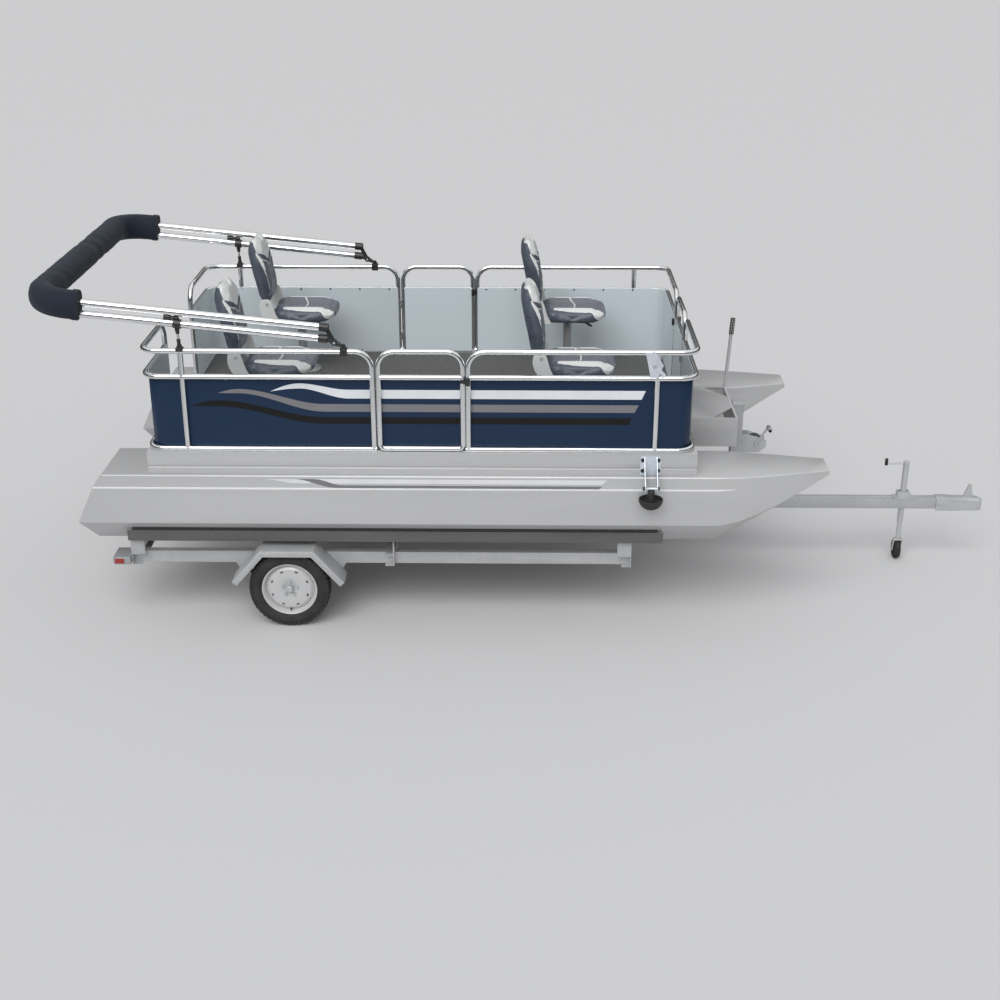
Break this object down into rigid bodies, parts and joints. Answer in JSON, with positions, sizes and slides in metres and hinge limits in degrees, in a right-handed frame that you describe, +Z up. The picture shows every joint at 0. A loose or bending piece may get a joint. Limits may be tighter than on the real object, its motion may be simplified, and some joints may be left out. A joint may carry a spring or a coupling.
{
  "type": "pontoon boat on trailer",
  "caption": "Small twin-hull pontoon boat with fenced deck, swivel seats and folded canopy, parked on a single-axle trailer with jack and winch.",
  "frame": {"origin": "on the ground below the middle of the whole, trailer and folded canopy included", "axes": "+X to the bow and the coupler, +Y to port, +Z up"},
  "size_m": [6.1794, 2.3763, 2.2179],
  "materials": {
    "hull": "brushed",
    "galvanised": "matt",
    "dark_steel": "matt",
    "zinc": "bright",
    "chrome": "polished",
    "rim": "satin",
    "tyre": "matt",
    "black": "matt",
    "bunk": "matt",
    "lamp": "gloss",
    "floor": "matt",
    "navy": "gloss",
    "cloth": "matt",
    "vinyl": "satin"
  },
  "bodies": {
    "boat_and_trailer": {"anchor": "black", "anchor_davit": "zinc", "axle": "dark_steel", "bow_step": "hull", "bunk_pad_port": "black", "bunk_pad_starboard": "black", "bunk_port": "bunk", "bunk_starboard": "bunk", "coupler": "zinc", "deck_floor": "floor", "deck_frame": "hull", "fence_port_aft": "chrome", "fence_port_fore": "chrome", "fence_starboard_aft": "chrome", "fence_starboard_fore": "chrome", "fender_port": "galvanised", "fender_starboard": "galvanised", "jack": "zinc", "pontoon_port": "hull", "pontoon_starboard": "hull", "rope_lock": "zinc", "sheet_port_aft": "navy", "sheet_port_fore": "navy", "sheet_starboard_aft": "navy", "sheet_starboard_fore": "navy", "tail_lamp_port": "lamp", "tail_lamp_starboard": "lamp", "trailer_frame": "galvanised", "winch": "zinc", "winch_post": "galvanised"},
    "wheel_starboard": {"tyre_starboard": "tyre", "rim_starboard": "rim"},
    "wheel_port": {"tyre_port": "tyre", "rim_port": "rim"},
    "jack_swivel": {"jack_fork": "zinc"},
    "jack_roller": {"jack_wheel": "black"},
    "gate_starboard": {"gate_starboard": "chrome", "gate_sheet_starboard": "navy"},
    "gate_port": {"gate_port": "chrome", "gate_sheet_port": "navy"},
    "gate_bow": {"gate_bow": "chrome", "gate_sheet_bow": "navy"},
    "canopy": {"canopy_frame": "chrome", "canopy_sleeve": "cloth"},
    "strut_starboard": {"canopy_strut_starboard": "black"},
    "strut_port": {"canopy_strut_port": "black"},
    "seat_starboard_aft": {"seat_starboard_aft": "vinyl"},
    "seat_back_starboard_aft": {"seat_back_starboard_aft": "vinyl"},
    "seat_starboard_fore": {"seat_starboard_fore": "vinyl"},
    "seat_back_starboard_fore": {"seat_back_starboard_fore": "vinyl"},
    "seat_port_aft": {"seat_port_aft": "vinyl"},
    "seat_back_port_aft": {"seat_back_port_aft": "vinyl"},
    "seat_port_fore": {"seat_port_fore": "vinyl"},
    "seat_back_port_fore": {"seat_back_port_fore": "vinyl"}
  },
  "joints": [
    {"name": "wheel_starboard_spin", "type": "hinge", "parent": "boat_and_trailer", "child": "wheel_starboard", "pos_m": [-1.6365, -0.9655, 0.262], "axis": [0, 1, 0], "continuous": true},
    {"name": "wheel_port_spin", "type": "hinge", "parent": "boat_and_trailer", "child": "wheel_port", "pos_m": [-1.6365, 1.1035, 0.262], "axis": [0, 1, 0], "continuous": true},
    {"name": "jack_swivel_turn", "type": "hinge", "parent": "boat_and_trailer", "child": "jack_swivel", "pos_m": [2.5365, 0.069, 0.141], "axis": [0, 0, 1], "continuous": true},
    {"name": "jack_wheel_spin", "type": "hinge", "parent": "jack_swivel", "child": "jack_roller", "pos_m": [2.5365, 0.089, 0.0705], "axis": [1, 0, 0], "continuous": true},
    {"name": "gate_starboard_swing", "type": "hinge", "parent": "boat_and_trailer", "child": "gate_starboard", "pos_m": [-1.0412, -0.9466, 1.205], "axis": [0, 0, 1], "range_deg": [0, 90]},
    {"name": "gate_port_swing", "type": "hinge", "parent": "boat_and_trailer", "child": "gate_port", "pos_m": [-1.0412, 1.0846, 1.205], "axis": [0, 0, -1], "range_deg": [0, 90]},
    {"name": "gate_bow_swing", "type": "hinge", "parent": "boat_and_trailer", "child": "gate_bow", "pos_m": [0.8965, -0.192, 1.205], "axis": [0, 0, 1], "range_deg": [0, 90]},
    {"name": "canopy_raise", "type": "hinge", "parent": "boat_and_trailer", "child": "canopy", "pos_m": [-1.2255, 0.069, 1.883], "axis": [0, 1, 0], "range_deg": [0, 75]},
    {"name": "strut_starboard_fold", "type": "hinge", "parent": "canopy", "child": "strut_starboard", "pos_m": [-2.22244, -0.9706, 1.98619], "axis": [0, 1, 0], "range_deg": [-60, 0]},
    {"name": "strut_port_fold", "type": "hinge", "parent": "canopy", "child": "strut_port", "pos_m": [-2.22244, 1.1086, 1.98619], "axis": [0, 1, 0], "range_deg": [-60, 0]},
    {"name": "seat_starboard_aft_swivel", "type": "hinge", "parent": "boat_and_trailer", "child": "seat_starboard_aft", "pos_m": [-1.7215, -0.541, 1.5878], "axis": [0, 0, 1], "continuous": true},
    {"name": "seat_back_starboard_aft_fold", "type": "hinge", "parent": "seat_starboard_aft", "child": "seat_back_starboard_aft", "pos_m": [-1.9265, -0.541, 1.7388], "axis": [0, 1, 0], "range_deg": [0, 100]},
    {"name": "seat_port_aft_swivel", "type": "hinge", "parent": "boat_and_trailer", "child": "seat_port_aft", "pos_m": [-1.7215, 0.679, 1.5878], "axis": [0, 0, 1], "continuous": true},
    {"name": "seat_back_port_aft_fold", "type": "hinge", "parent": "seat_port_aft", "child": "seat_back_port_aft", "pos_m": [-1.9265, 0.679, 1.7388], "axis": [0, 1, 0], "range_deg": [0, 100]},
    {"name": "seat_starboard_fore_swivel", "type": "hinge", "parent": "boat_and_trailer", "child": "seat_starboard_fore", "pos_m": [0.1785, -0.541, 1.5878], "axis": [0, 0, 1], "continuous": true},
    {"name": "seat_back_starboard_fore_fold", "type": "hinge", "parent": "seat_starboard_fore", "child": "seat_back_starboard_fore", "pos_m": [-0.0265, -0.541, 1.7388], "axis": [0, 1, 0], "range_deg": [0, 100]},
    {"name": "seat_port_fore_swivel", "type": "hinge", "parent": "boat_and_trailer", "child": "seat_port_fore", "pos_m": [0.1785, 0.679, 1.5878], "axis": [0, 0, 1], "continuous": true},
    {"name": "seat_back_port_fore_fold", "type": "hinge", "parent": "seat_port_fore", "child": "seat_back_port_fore", "pos_m": [-0.0265, 0.679, 1.7388], "axis": [0, 1, 0], "range_deg": [0, 100]}
  ],
  "couplings": [
    {"joint": "strut_starboard_fold", "follows": "canopy_raise", "ratio": -0.8},
    {"joint": "strut_port_fold", "follows": "canopy_raise", "ratio": -0.8}
  ]
}
